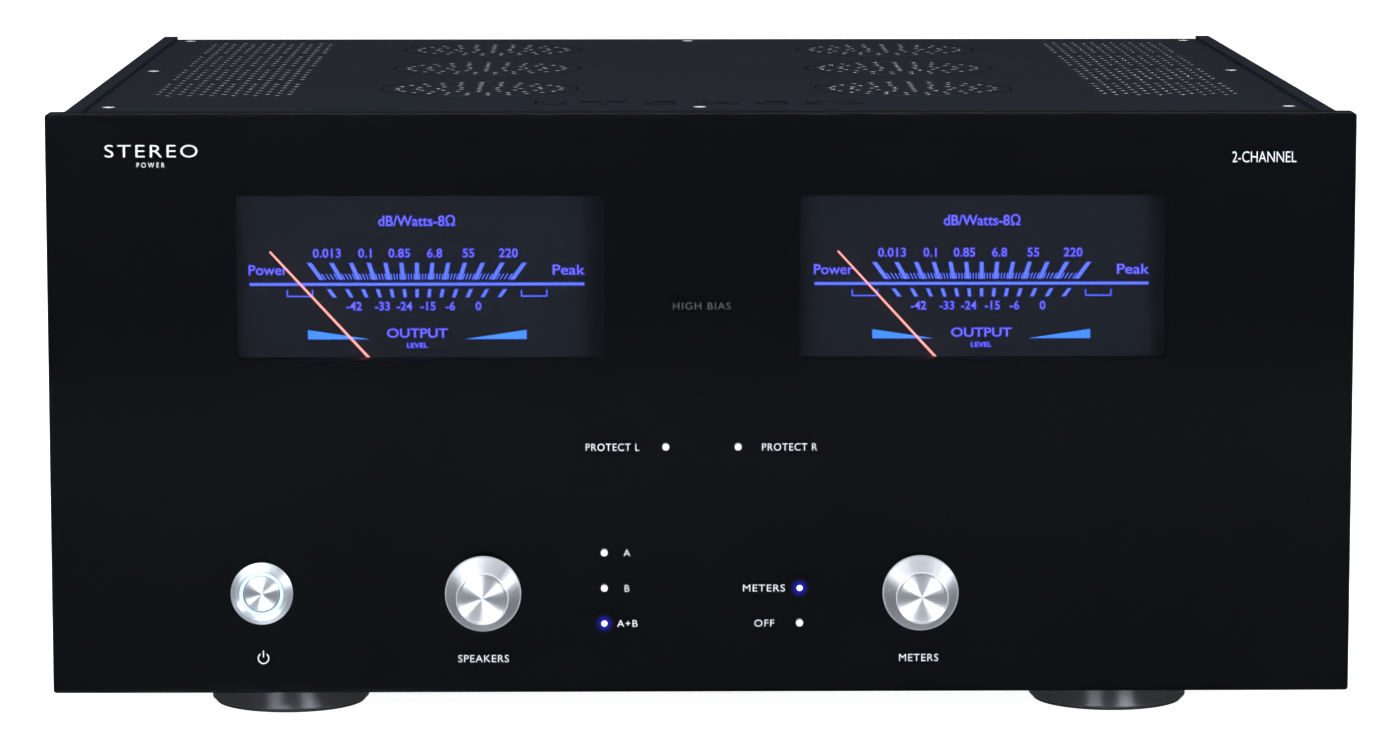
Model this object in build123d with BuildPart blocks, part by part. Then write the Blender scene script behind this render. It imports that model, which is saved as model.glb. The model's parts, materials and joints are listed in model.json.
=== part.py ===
from build123d import *
from math import cos, radians, sin
import os

# A full-width stereo power amplifier with two pointer meters behind a smoked front glass.
# Millimetres. +Z is up, the front faces -Y, and +X is to the right seen from the front.
# The origin is the centre of the footprint, on the surface that the rubber pads stand on.
# "Depth" is always the distance behind the front face of the glass.

# Overall size
PANEL_WIDTH = 430.0
PANEL_HEIGHT = 192.4
PANEL_BOTTOM = 13.0
BODY_DEPTH = 400.0
KNOB_REACH = 12.5
REAR_FACE = 398.0
TERMINAL_REACH = 28.0
TERMINAL_END = REAR_FACE + TERMINAL_REACH
FRONT_Y = (KNOB_REACH - TERMINAL_END) / 2

# Sheets and plates of the case
GLASS = 3.0
BOND = 0.1
PANEL_BACK = 11.5
INNER_BACK = 13.5
CORNER_R = 1.1
SIDE_INNER = 205.0
SIDE_THICK = 6.0
SIDE_BOTTOM = 14.5
SIDE_TOP = 204.9
COVER_TOP = 203.8
COVER = 2.0
COVER_UNDER = COVER_TOP - COVER
BOTTOM_UNDER = 16.0
SHEET = 2.0
FLOOR = BOTTOM_UNDER + SHEET
REAR_INNER = REAR_FACE - SHEET
SEAM = 0.2
SHEET_HALF = SIDE_INNER - SEAM
FLANGE_HALF = 190.0
FLANGE = (COVER_UNDER - SHEET, COVER_UNDER)
RAIL = (16.0, 394.0)
RAIL_INNER = 192.0
RAIL_LOW = 184.0

# Front controls
BUTTON_X = -145.6
CONTROL_Z = 46.5
SPEAKER_X = -72.4
METER_X = 72.4
BUTTON_R = 5.85
LIGHT_RING_IN = 6.15
LIGHT_RING_OUT = 7.3
BEZEL_R = 10.3
BEZEL_BODY = 8.6
KNOB_BASE_R = 12.55
KNOB_FACE_R = 8.65
KNOB_GAP = 1.2
KNOB_RECESS = 0.9
SHAFT_R = 3.0
RUNNING = 0.05
BUSHING_R = 4.5
BUSHING_START = 6.0
NUT_START = 9.0
NUT_R = 7.4
BARREL_END = 15.6

# Indicator lights: the amplifier's fault lamps, speaker pairs and meter lamp
INDICATORS = [(-11.9, 95.1), (12.0, 95.1), (-32.3, 59.8), (-32.3, 47.9), (-32.3, 36.1), (32.4, 47.9),
              (32.4, 36.1)]
INDICATOR_R = 1.15

# Boards behind the front: both stand on the same plane
FRONT_BOARD = (20.0, 21.6)

# Pointer meters
WINDOW_X = 92.9
WINDOW_Z = 151.0
WINDOW_W = 121.2
WINDOW_H = 54.4
PIVOT_X = 94.0
PIVOT_Z = 105.75
CASE_HALF = 63.5
CASE_BOTTOM = 84.0
CASE_TOP = 184.0
CASE_BACK = 46.0
CASE_WALL = 2.0
DIAL_FRONT = 15.5
DIAL = 0.6
POINTER_LENGTH = 72.0
POINTER_REST = 42.6
POINTER_BASE = 0.42
POINTER_TIP = 0.28
PIVOT_R = 0.8
MAGNET = (20.0, 34.0)
MAGNET_R = 17.0
MAGNET_BORE = 11.0
CORE_R = 8.0
PILLAR_OFFSET = 14.0
FRONT_BRIDGE = (16.8, 17.8)
REAR_BRIDGE = (36.4, 37.6)

# Feet
FOOT_R = 26.7
FOOT_X = 140.0
FOOT_DEPTHS = (58.0, BODY_DEPTH - 60.0)
FOOT_BORE_R = 3.0
FOOT_SCREW_R = 2.9
PAD_R = 25.6
PAD_HEIGHT = 3.0

# Ventilation in the cover
HOLE_R = 1.4
COLUMNS = 13
COLUMN_PITCH = 3.8
HOLE_PITCH = 11.8
RECT_VENT_X = 164.4
RECT_VENT_START = 100.8
ROUND_VENT_X = 76.4
ROUND_VENT_DEPTHS = (132.5, 233.5, 334.5)
ROUND_VENT_R = 35.0
VENT_RINGS = ((7.25, 6), (14.5, 12), (21.75, 19), (29.0, 25))

# Screws in the cover
SCREW_X = 199.0
SCREW_DEPTHS = (51.0, 222.0, 390.0)
COVER_SCREWS = [(s * SCREW_X, d) for s in (-1, 1) for d in SCREW_DEPTHS]
COVER_SCREWS += [(0.0, SCREW_DEPTHS[0]), (0.0, SCREW_DEPTHS[2])]
SCREW_HEAD_R = 3.5
SCREW_HEAD = 1.6
SCREW_HOLE_R = 2.0
SCREW_R = 1.9

# Smaller screws, through the panels and the rear connectors
PANEL_SCREWS = [(-195, 30), (195, 30), (-195, 192), (195, 192), (0, 24), (0, 192)]
PANEL_SCREW_TIP = 6.0
INLET_SCREW_X = 20.0
XLR_SCREW = (9.5, 12.0)
SMALL_HOLE_R = 1.5
SMALL_SCREW_R = 1.4
SMALL_HEAD_R = 2.8

# Rear connectors
TERMINAL_X = (-170, -142, -108, -80, 80, 108, 142, 170)
TERMINAL_Z = 64.0
INSULATOR = (392.0, 402.0)
INSULATOR_R = 6.0
POST_R = 4.0
BANANA_R = 2.0
BANANA_LENGTH = 18.0
CAP_R = 7.6
CAP_START = 407.0
SLIDING = 0.08
INLET_Z = 60.0
LINE_Z = 152.0
RCA_X = 152.0
RCA_R = 4.15
XLR_X = 106.0
XLR_R = 11.8
SWITCH_THROW = 3.0
SWITCH_SLOT = (5.5, 2.2)
FLANGE_FACE = REAR_FACE + 2.0
INLET_FACE = REAR_FACE + 2.5

# Inside
HEATSINK_X = (134.0, 190.0)
HEATSINK_DEPTH = (80.0, 366.0)
HEATSINK_Z = (22.0, 180.0)
FIN_PITCH = 8.0
FIN = 1.8
SINK_BASE = 6.0
CAN_R = 24.5
CAN_HEIGHT = 90.0
BOARD = 1.6
SUPPLY_BOARD_Z = 30.0
INPUT_BOARD = (384.0, 385.6)
OUTPUT_BOARD = (380.0, 381.6)
TRANSISTOR_DEPTHS = [110 + 46 * k for k in range(6)]


def back(depth):
    """The y of a point this far behind the front face."""
    return FRONT_Y + depth


def upright(depth):
    """A plane that faces the front: its x is +X, its y is +Z."""
    return Plane.XZ.offset(-back(depth))


def write(piece, name):
    """Label a finished piece and write its STEP file."""
    piece.part.label = name
    export_step(piece.part, f"parts/{name}.step")


def block(x, depth, z, mode=Mode.ADD):
    """A box between two values along each direction."""
    middle = ((x[0] + x[1]) / 2, back((depth[0] + depth[1]) / 2), (z[0] + z[1]) / 2)
    with Locations(middle):
        Box(x[1] - x[0], depth[1] - depth[0], z[1] - z[0], mode=mode)


def rod(x, z, radius, depth, mode=Mode.ADD):
    """A cylinder along Y between two depths."""
    with Locations(Location((x, back((depth[0] + depth[1]) / 2), z), (90, 0, 0))):
        Cylinder(radius, depth[1] - depth[0], mode=mode)


def column(x, depth, radius, z, mode=Mode.ADD):
    """A vertical cylinder between two heights."""
    with Locations((x, back(depth), (z[0] + z[1]) / 2)):
        Cylinder(radius, z[1] - z[0], mode=mode)


# ---------------------------------------------------------------- front


def make_front_glass():
    with BuildPart() as glass:
        with BuildSketch(upright(0)):
            with Locations((0, PANEL_BOTTOM + PANEL_HEIGHT / 2)):
                RectangleRounded(PANEL_WIDTH, PANEL_HEIGHT, CORNER_R)
            with Locations((BUTTON_X, CONTROL_Z)):
                Circle(BEZEL_BODY, mode=Mode.SUBTRACT)
            with Locations((SPEAKER_X, CONTROL_Z), (METER_X, CONTROL_Z)):
                Circle(BUSHING_R + 0.5, mode=Mode.SUBTRACT)
            with Locations(*INDICATORS):
                Circle(INDICATOR_R, mode=Mode.SUBTRACT)
        extrude(amount=-GLASS)
        front_edges = glass.faces().sort_by(Axis.Y)[0].outer_wire().edges()
        chamfer(front_edges, 0.6)
    write(glass, "front_glass")


def make_front_panel():
    with BuildPart() as panel:
        with BuildSketch(upright(GLASS + BOND)):
            with Locations((0, PANEL_BOTTOM + PANEL_HEIGHT / 2)):
                RectangleRounded(PANEL_WIDTH, PANEL_HEIGHT, CORNER_R)
            with Locations((-WINDOW_X, WINDOW_Z), (WINDOW_X, WINDOW_Z)):
                RectangleRounded(WINDOW_W, WINDOW_H, 1.5, mode=Mode.SUBTRACT)
            with Locations((BUTTON_X, CONTROL_Z)):
                Circle(BEZEL_BODY, mode=Mode.SUBTRACT)
            with Locations((SPEAKER_X, CONTROL_Z), (METER_X, CONTROL_Z)):
                Circle(BUSHING_R + 0.5, mode=Mode.SUBTRACT)
            with Locations(*INDICATORS):
                Circle(INDICATOR_R, mode=Mode.SUBTRACT)
        extrude(amount=-(PANEL_BACK - GLASS - BOND))
        for x in (SPEAKER_X, METER_X):
            rod(x, CONTROL_Z, NUT_R + 1, (NUT_START - 0.5, PANEL_BACK), Mode.SUBTRACT)
        for x, z in PANEL_SCREWS:
            rod(x, z, SCREW_HOLE_R, (PANEL_SCREW_TIP - 0.5, PANEL_BACK), Mode.SUBTRACT)
        back_edges = panel.faces().sort_by(Axis.Y)[-1].outer_wire().edges()
        chamfer(back_edges, 0.8)
    write(panel, "front_panel")


def make_inner_front_plate():
    with BuildPart() as plate:
        block((-SHEET_HALF, SHEET_HALF), (PANEL_BACK, INNER_BACK), (FLOOR, COVER_UNDER))
        block((-FLANGE_HALF, FLANGE_HALF), (INNER_BACK, SCREW_DEPTHS[0] + 9), FLANGE)
        for side in (-1, 1):
            middle = side * PIVOT_X
            block((middle - CASE_HALF, middle + CASE_HALF), (PANEL_BACK, INNER_BACK), (CASE_BOTTOM, CASE_TOP),
                  Mode.SUBTRACT)
        for x in (SPEAKER_X, METER_X):
            rod(x, CONTROL_Z, BUSHING_R + 0.1, (PANEL_BACK, INNER_BACK), Mode.SUBTRACT)
        rod(BUTTON_X, CONTROL_Z, BEZEL_BODY + 0.1, (PANEL_BACK, INNER_BACK), Mode.SUBTRACT)
        for x, z in INDICATORS:
            rod(x, z, INDICATOR_R + 0.2, (PANEL_BACK, INNER_BACK), Mode.SUBTRACT)
        for x, z in PANEL_SCREWS:
            rod(x, z, SCREW_HOLE_R, (PANEL_BACK, INNER_BACK), Mode.SUBTRACT)
        column(0, SCREW_DEPTHS[0], SCREW_HOLE_R, FLANGE, Mode.SUBTRACT)
    write(plate, "inner_front_plate")


# ---------------------------------------------------------------- case


def make_side_panel(side, name):
    with BuildPart() as panel:
        inner, outer = sorted((side * SIDE_INNER, side * (SIDE_INNER + SIDE_THICK)))
        block((inner, outer), (PANEL_BACK, BODY_DEPTH), (SIDE_BOTTOM, SIDE_TOP))
        outside = panel.faces().sort_by(Axis.X)[-1 if side > 0 else 0]
        chamfer(outside.edges(), 0.8)
    write(panel, name)


def make_cover_rails():
    """Angle rails along the side panels, which the cover is screwed to."""
    with BuildPart() as rails:
        for side in (-1, 1):
            inner, outer = sorted((side * RAIL_INNER, side * SIDE_INNER))
            block((inner, outer), RAIL, FLANGE)
            inner, outer = sorted((side * (SIDE_INNER - SHEET), side * SIDE_INNER))
            block((inner, outer), RAIL, (RAIL_LOW, COVER_UNDER))
            for depth in SCREW_DEPTHS:
                column(side * SCREW_X, depth, SCREW_HOLE_R, FLANGE, Mode.SUBTRACT)
    write(rails, "cover_rails")


def rectangular_vent(side):
    """Staggered columns of holes over a heat sink: every second column has gaps that make four groups."""
    holes = []
    for index in range(COLUMNS):
        x = side * RECT_VENT_X + (index - COLUMNS // 2) * COLUMN_PITCH
        if index % 2:
            holes += [(x, back(RECT_VENT_START + k * HOLE_PITCH)) for k in range(24)]
        else:
            start = RECT_VENT_START + HOLE_PITCH / 2
            holes += [(x, back(start + k * HOLE_PITCH)) for k in range(23) if k % 6 != 5]
    return holes


def round_vent(x, depth):
    """A centre hole with four rings of holes around it."""
    holes = [(x, back(depth))]
    for radius, count in VENT_RINGS:
        for k in range(count):
            angle = radians(360 * k / count)
            holes.append((x + radius * sin(angle), back(depth) + radius * cos(angle)))
    return holes


def make_top_cover():
    round_centres = [(s * ROUND_VENT_X, d) for s in (-1, 1) for d in ROUND_VENT_DEPTHS]
    holes = rectangular_vent(-1) + rectangular_vent(1)
    for x, depth in round_centres:
        holes += round_vent(x, depth)
    front, rear = back(PANEL_BACK + 0.3), back(REAR_FACE + 1)
    with BuildPart() as cover:
        with BuildSketch(Plane.XY.offset(COVER_UNDER)):
            with Locations((0, (front + rear) / 2)):
                Rectangle(2 * SHEET_HALF, rear - front)
            with Locations(*holes):
                Circle(HOLE_R, mode=Mode.SUBTRACT)
        extrude(amount=COVER)
        with BuildSketch(Plane.XY.offset(COVER_TOP)):
            with Locations(*[(x, back(depth)) for x, depth in round_centres]):
                Circle(ROUND_VENT_R)
                Circle(ROUND_VENT_R - 0.7, mode=Mode.SUBTRACT)
        extrude(amount=-0.4, mode=Mode.SUBTRACT)
        with Locations(*[(x, back(depth), COVER_TOP) for x, depth in COVER_SCREWS]):
            CounterSinkHole(radius=2.1, counter_sink_radius=4.0, depth=COVER, counter_sink_angle=90)
    write(cover, "top_cover")


def make_bottom_plate():
    with BuildPart() as plate:
        block((-SHEET_HALF, SHEET_HALF), (PANEL_BACK, REAR_FACE), (BOTTOM_UNDER, FLOOR))
        for x in (-FOOT_X, FOOT_X):
            for depth in FOOT_DEPTHS:
                column(x, depth, FOOT_BORE_R, (BOTTOM_UNDER, FLOOR), Mode.SUBTRACT)
        with BuildSketch(Plane.XY.offset(BOTTOM_UNDER)):
            for side in (-1, 1):
                with Locations((side * 162, back(200))):
                    with GridLocations(1, 11, 1, 18):
                        SlotOverall(44, 4)
        extrude(amount=SHEET, mode=Mode.SUBTRACT)
    write(plate, "bottom_plate")


def rear_screws():
    """Places of the screws that hold the sockets to the rear panel, with the face under each head."""
    across, rise = XLR_SCREW
    places = [(s * INLET_SCREW_X, INLET_Z, INLET_FACE) for s in (-1, 1)]
    for x in (-XLR_X, XLR_X):
        places += [(x + c * across, LINE_Z + c * rise, FLANGE_FACE) for c in (-1, 1)]
    return places


def make_rear_panel():
    opening = (REAR_INNER, REAR_FACE)
    slot_x, slot_z = SWITCH_SLOT
    with BuildPart() as panel:
        block((-SHEET_HALF, SHEET_HALF), opening, (FLOOR, COVER_UNDER))
        block((-FLANGE_HALF, FLANGE_HALF), (REAR_INNER - 30, REAR_INNER), FLANGE)
        column(0, SCREW_DEPTHS[2], SCREW_HOLE_R, FLANGE, Mode.SUBTRACT)
        for x in TERMINAL_X:
            rod(x, TERMINAL_Z, INSULATOR_R, opening, Mode.SUBTRACT)
        for side in (-1, 1):
            rod(side * RCA_X, LINE_Z, RCA_R + 0.85, opening, Mode.SUBTRACT)
            rod(side * XLR_X, LINE_Z, XLR_R + 0.1, opening, Mode.SUBTRACT)
        for x, z, _ in rear_screws():
            rod(x, z, SMALL_HOLE_R, opening, Mode.SUBTRACT)
        block((-14.2, 14.2), opening, (INLET_Z - 10.2, INLET_Z + 10.2), Mode.SUBTRACT)
        block((-slot_x, slot_x), opening, (LINE_Z - slot_z, LINE_Z + slot_z), Mode.SUBTRACT)
    write(panel, "rear_panel")


def make_cover_screws():
    """Countersunk socket screws, a little below the cover's surface."""
    top = COVER_TOP - 0.15
    with BuildPart() as screws:
        for x, depth in COVER_SCREWS:
            with BuildSketch(Plane.XY.offset(top)):
                with Locations((x, back(depth))):
                    Circle(SCREW_HEAD_R)
            extrude(amount=-SCREW_HEAD, taper=45)
            column(x, depth, SCREW_R, (top - 9, top - SCREW_HEAD + 0.2))
            with BuildSketch(Plane.XY.offset(top)):
                with Locations((x, back(depth))):
                    RegularPolygon(1.45, 6)
            extrude(amount=-1.2, mode=Mode.SUBTRACT)
    write(screws, "cover_screws")


def make_chassis_screws():
    """Screws through the inner front plate, the rear connectors' flanges and the feet."""
    with BuildPart() as screws:
        for x, z in PANEL_SCREWS:
            rod(x, z, SCREW_R, (PANEL_SCREW_TIP, INNER_BACK))
            rod(x, z, SCREW_HEAD_R, (INNER_BACK, INNER_BACK + 2.6))
        for x, z, face in rear_screws():
            rod(x, z, SMALL_SCREW_R, (face - 8, face))
            rod(x, z, SMALL_HEAD_R, (face, face + 1.6))
        for x in (-FOOT_X, FOOT_X):
            for depth in FOOT_DEPTHS:
                column(x, depth, FOOT_SCREW_R, (6, FLOOR))
                column(x, depth, 5.0, (FLOOR, FLOOR + 3))
    write(screws, "chassis_screws")


def make_foot(x, depth, name):
    """A turned disc with a recess for its pad and a screw hole."""
    with BuildPart() as foot:
        with BuildSketch(Plane.XZ):
            with BuildLine():
                Polyline((5.0, PAD_HEIGHT), (PAD_R, PAD_HEIGHT), (PAD_R, 1.2), (FOOT_R - 0.4, 1.2),
                         (FOOT_R, 1.6), (FOOT_R, BOTTOM_UNDER - 0.6), (FOOT_R - 0.6, BOTTOM_UNDER),
                         (FOOT_BORE_R, BOTTOM_UNDER), (FOOT_BORE_R, 5.0), (5.0, 5.0), close=True)
            make_face()
        revolve(axis=Axis.Z)
    foot.part.position = (x, back(depth), 0)
    write(foot, name)


def make_foot_pads():
    with BuildPart() as pads:
        for x in (-FOOT_X, FOOT_X):
            for depth in FOOT_DEPTHS:
                column(x, depth, PAD_R, (0, PAD_HEIGHT))
        chamfer(pads.faces().filter_by(Axis.Z).group_by(Axis.Z)[0].edges(), 0.4)
    write(pads, "foot_pads")


# ---------------------------------------------------------------- front controls


def turned(x, z, outline):
    """A solid of revolution about an axis along Y, from (radius, depth) points."""
    with BuildPart() as piece:
        with BuildSketch(Plane.XY):
            with BuildLine():
                Polyline(*[(radius, back(depth)) for radius, depth in outline], close=True)
            make_face()
        revolve(axis=Axis.Y)
    piece.part.position = (x, 0, z)
    return piece


def make_power_button():
    bezel = turned(BUTTON_X, CONTROL_Z, [
        (LIGHT_RING_OUT, -2.2), (LIGHT_RING_OUT + 0.5, -2.6), (BEZEL_R - 1.6, -2.6),
        (BEZEL_R, -1.0), (BEZEL_R, 0), (BEZEL_BODY, 0), (BEZEL_BODY, BARREL_END),
        (LIGHT_RING_OUT, BARREL_END)])
    write(bezel, "power_button_bezel")

    light_ring = turned(BUTTON_X, CONTROL_Z, [
        (LIGHT_RING_IN, -2.0), (LIGHT_RING_OUT, -2.0), (LIGHT_RING_OUT, 6.0), (LIGHT_RING_IN, 6.0)])
    write(light_ring, "power_light_ring")

    button = turned(BUTTON_X, CONTROL_Z, [
        (0, -2.1), (BUTTON_R - 0.4, -2.1), (BUTTON_R, -1.7), (BUTTON_R, 6.5),
        (6.9, 6.5), (6.9, 8.0), (2.5, 8.0), (2.5, 14.0), (0, 14.0)])
    write(button, "power_button")

    board_front = FRONT_BOARD[0]
    with BuildPart() as switch:
        block((BUTTON_X - 5, BUTTON_X + 5), (16.8, board_front), (CONTROL_Z - 5, CONTROL_Z + 5))
        rod(BUTTON_X, CONTROL_Z, 2.0, (15.9, 16.8))
        block((BUTTON_X - 18, BUTTON_X + 18), FRONT_BOARD, (CONTROL_Z - 18, CONTROL_Z + 18))
        for dx in (-15, 15):
            for dz in (-15, 15):
                rod(BUTTON_X + dx, CONTROL_Z + dz, 2.5, (INNER_BACK, board_front))
    write(switch, "power_switch")


def make_knob(x, knob_name, shaft_name):
    """A tapered knob with a recessed face, on the shaft of its rotary switch."""
    front = -KNOB_REACH
    face, shaft_end = front + KNOB_RECESS, front + 3.5
    edge = front + 0.5
    knob = turned(x, CONTROL_Z, [
        (SHAFT_R, -KNOB_GAP), (KNOB_BASE_R, -KNOB_GAP), (KNOB_BASE_R, -KNOB_GAP - 0.9),
        (KNOB_FACE_R + 0.15, edge), (KNOB_FACE_R - 0.25, front), (KNOB_FACE_R - 0.6, front),
        (KNOB_FACE_R - 0.7, face), (0, face), (0, shaft_end), (SHAFT_R, shaft_end)])
    write(knob, knob_name)

    with BuildPart() as shaft:
        rod(x, CONTROL_Z, SHAFT_R, (shaft_end, 26))
    write(shaft, shaft_name)


def make_selector_switches():
    """Rotary switches behind the inner plate, each with a bushing that reaches into the front panel."""
    with BuildPart() as switches:
        for x in (SPEAKER_X, METER_X):
            block((x - 12, x + 12), (INNER_BACK, 30), (CONTROL_Z - 12, CONTROL_Z + 12))
            rod(x, CONTROL_Z, BUSHING_R, (BUSHING_START, INNER_BACK))
            for k in range(6):
                angle = radians(60 * k)
                rod(x + 8 * cos(angle), CONTROL_Z + 8 * sin(angle), 0.8, (30, 34))
            rod(x, CONTROL_Z, SHAFT_R + RUNNING, (BUSHING_START, 27), Mode.SUBTRACT)
    write(switches, "selector_switches")


def make_panel_nuts():
    """A hexagon nut on each switch bushing, and a round nut on the power button's barrel."""
    with BuildPart() as nuts:
        with BuildSketch(upright(NUT_START)):
            with Locations((SPEAKER_X, CONTROL_Z), (METER_X, CONTROL_Z)):
                RegularPolygon(NUT_R, 6)
                Circle(BUSHING_R, mode=Mode.SUBTRACT)
        extrude(amount=-(PANEL_BACK - NUT_START))
        rod(BUTTON_X, CONTROL_Z, 11.5, (INNER_BACK, BARREL_END))
        rod(BUTTON_X, CONTROL_Z, BEZEL_BODY, (INNER_BACK, BARREL_END), Mode.SUBTRACT)
    write(nuts, "panel_nuts")


def make_indicators():
    with BuildPart() as lenses:
        for x, z in INDICATORS:
            rod(x, z, INDICATOR_R, (0, 18))
    write(lenses, "indicator_lenses")

    with BuildPart() as board:
        block((-42, 42), FRONT_BOARD, (28, 78))
        block((-25, 25), FRONT_BOARD, (78, 104))
        for x, z in INDICATORS:
            rod(x, z, 1.5, (18.2, FRONT_BOARD[0]))
        for x, z in ((-38, 32), (38, 32), (-38, 74), (38, 74), (-21, 100), (21, 100)):
            rod(x, z, 2.5, (INNER_BACK, FRONT_BOARD[0]))
    write(board, "display_board")


# ---------------------------------------------------------------- meters


def make_meter_cases():
    """Cases that are open to the windows, with a ledge that carries the dial."""
    wall, ledge = CASE_WALL, CASE_WALL + 3
    dial_back, ledge_back = DIAL_FRONT + DIAL, 19.0
    hollows = [(wall, (PANEL_BACK, dial_back)), (ledge, (dial_back, ledge_back)),
               (wall, (ledge_back, CASE_BACK - wall))]
    with BuildPart() as cases:
        for side in (-1, 1):
            middle = side * PIVOT_X
            left, right = middle - CASE_HALF, middle + CASE_HALF
            block((left, right), (PANEL_BACK, CASE_BACK), (CASE_BOTTOM, CASE_TOP))
            for inset, depth in hollows:
                height = (CASE_BOTTOM + inset, CASE_TOP - inset)
                block((left + inset, right - inset), depth, height, Mode.SUBTRACT)
            rod(middle, PIVOT_Z, MAGNET_R + 1, (dial_back, ledge_back), Mode.SUBTRACT)
    write(cases, "meter_cases")


def make_meter_dial(side, name):
    middle = side * PIVOT_X
    inset = CASE_WALL + 0.3
    with BuildPart() as dial:
        block((middle - CASE_HALF + inset, middle + CASE_HALF - inset), (DIAL_FRONT, DIAL_FRONT + DIAL),
              (CASE_BOTTOM + inset, CASE_TOP - inset))
        rod(middle, PIVOT_Z, 3.0, (DIAL_FRONT, DIAL_FRONT + DIAL), Mode.SUBTRACT)
    write(dial, name)


def make_meter_magnets():
    """Ring magnets with their cores, and the bridges that hold the pointer's two pivots."""
    front, rear = MAGNET
    bridge_z = (PIVOT_Z - PILLAR_OFFSET - 2, PIVOT_Z + PILLAR_OFFSET + 2)
    with BuildPart() as magnets:
        for side in (-1, 1):
            x = side * PIVOT_X
            rod(x, PIVOT_Z, MAGNET_R, MAGNET)
            rod(x, PIVOT_Z, MAGNET_BORE, MAGNET, Mode.SUBTRACT)
            rod(x, PIVOT_Z, CORE_R, (front + 1, rear - 1))
            for end in (-1, 1):
                low, high = sorted((PIVOT_Z + end * (CORE_R - 1), PIVOT_Z + end * (MAGNET_BORE + 1)))
                block((x - 2, x + 2), (front + 2, rear - 2), (low, high))
                rod(x, PIVOT_Z + end * PILLAR_OFFSET, 2.0, (FRONT_BRIDGE[0], CASE_BACK - CASE_WALL))
            for bridge in (FRONT_BRIDGE, REAR_BRIDGE):
                block((x - 2.5, x + 2.5), bridge, bridge_z)
                rod(x, PIVOT_Z, PIVOT_R + RUNNING, bridge, Mode.SUBTRACT)
    write(magnets, "meter_magnets")


def make_meter_pointer(side, name):
    """A pointer with its counterweight, moving coil and pivots, upright here and turned to its rest."""
    coil_half, wire = 10.3, 1.6
    coil_front, coil_back = (18.7, 19.6), (34.4, 35.3)
    hub = (13.1, 14.1)
    with BuildPart() as pointer:
        with BuildSketch(upright(13.3)):
            with BuildLine():
                Polyline((-POINTER_BASE, 0), (-POINTER_TIP, POINTER_LENGTH), (POINTER_TIP, POINTER_LENGTH),
                         (POINTER_BASE, 0), close=True)
            make_face()
        extrude(amount=-0.6)
        block((-1.5, 1.5), hub, (-9, -3))
        rod(0, 0, 3.6, hub)
        rod(0, 0, PIVOT_R, (hub[1], coil_front[0]))
        for depth in (coil_front, coil_back):
            block((-coil_half, coil_half), depth, (-1.25, 1.25))
        for side_x in ((-coil_half, wire - coil_half), (coil_half - wire, coil_half)):
            block(side_x, (coil_front[1], coil_back[0]), (-1.25, 1.25))
        rod(0, 0, PIVOT_R, (coil_back[1], REAR_BRIDGE[1] + 0.8))
    pointer.part = pointer.part.rotate(Axis.Y, -POINTER_REST)
    pointer.part.position = (side * PIVOT_X, 0, PIVOT_Z)
    write(pointer, name)


# ---------------------------------------------------------------- power supply and amplifiers


def make_transformer():
    """An E-and-I laminated core standing in a tray, with its winding on the centre leg."""
    half, low, high = 65.0, FLOOR + 3, FLOOR + 111
    middle, leg, window = (low + high) / 2, 21.5, 31.5
    stack = (94, 156)
    bolts = [(x, z) for x in (-58, 58) for z in (low + 8, high - 8)]
    with BuildPart() as core:
        block((-half, half), stack, (low, high))
        for side in (-1, 1):
            near, far = sorted((side * leg, side * 2 * leg))
            block((near, far), stack, (middle - window, middle + window), Mode.SUBTRACT)
        for x, z in bolts:
            rod(x, z, 3.1, stack, Mode.SUBTRACT)
    write(core, "transformer_core")

    with BuildPart() as winding:
        block((-2 * leg, 2 * leg), (stack[0] - 20, stack[1] + 20), (middle - window, middle + window))
        fillet(winding.edges().filter_by(Axis.Z), 12)
        block((-leg, leg), stack, (middle - window, middle + window), Mode.SUBTRACT)
    write(winding, "transformer_winding")

    with BuildPart() as clamp:
        block((-half, half), (82, 168), (FLOOR, low))
        block((-half, half), (stack[0] - 3, stack[0]), (low, low + 22))
        block((-half, half), (stack[1], stack[1] + 3), (low, low + 22))
        for x, z in bolts:
            rod(x, z, 3.0, (stack[0] - 8, stack[1] + 8))
            rod(x, z, 5.5, (stack[0] - 8, stack[0] - 3))
            rod(x, z, 5.5, (stack[1] + 3, stack[1] + 8))
    write(clamp, "transformer_clamp")


def make_power_supply():
    board = (SUPPLY_BOARD_Z, SUPPLY_BOARD_Z + BOARD)
    cans = [(x, depth) for x in (-81, -27, 27, 81) for depth in (240, 300)]
    with BuildPart() as supply:
        block((-108, 108), (196, 344), board)
        for x in (-102, 0, 102):
            for depth in (202, 338):
                column(x, depth, 3.0, (FLOOR, SUPPLY_BOARD_Z))
        for x in (-54, 54):
            block((x - 14, x + 14), (199, 207), (board[1], board[1] + 28))
    write(supply, "power_supply_board")

    with BuildPart() as capacitors:
        for x, depth in cans:
            column(x, depth, CAN_R, (board[1], board[1] + CAN_HEIGHT))
        chamfer(capacitors.faces().filter_by(Axis.Z).group_by(Axis.Z)[-1].edges(), 1.2)
    write(capacitors, "filter_capacitors")


def make_heatsinks():
    """A base plate with upright fins on each side, on short feet."""
    inner, outer = HEATSINK_X
    start, end = HEATSINK_DEPTH
    low, high = HEATSINK_Z
    fins = int((end - start) / FIN_PITCH)
    fin_start = inner + SINK_BASE - 1
    with BuildPart() as sinks:
        for side in (-1, 1):
            with BuildSketch(Plane.XY.offset(low)):
                with Locations((side * (inner + SINK_BASE / 2), back((start + end) / 2))):
                    Rectangle(SINK_BASE, end - start)
                for k in range(fins + 1):
                    with Locations((side * (fin_start + outer) / 2, back(start + 1 + k * FIN_PITCH))):
                        Rectangle(outer - fin_start, FIN)
            extrude(amount=high - low)
            for depth in (start + 4, end - 14):
                near, far = sorted((side * inner, side * (inner + 16)))
                block((near, far), (depth, depth + 10), (FLOOR, low))
    write(sinks, "heatsinks")


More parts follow.
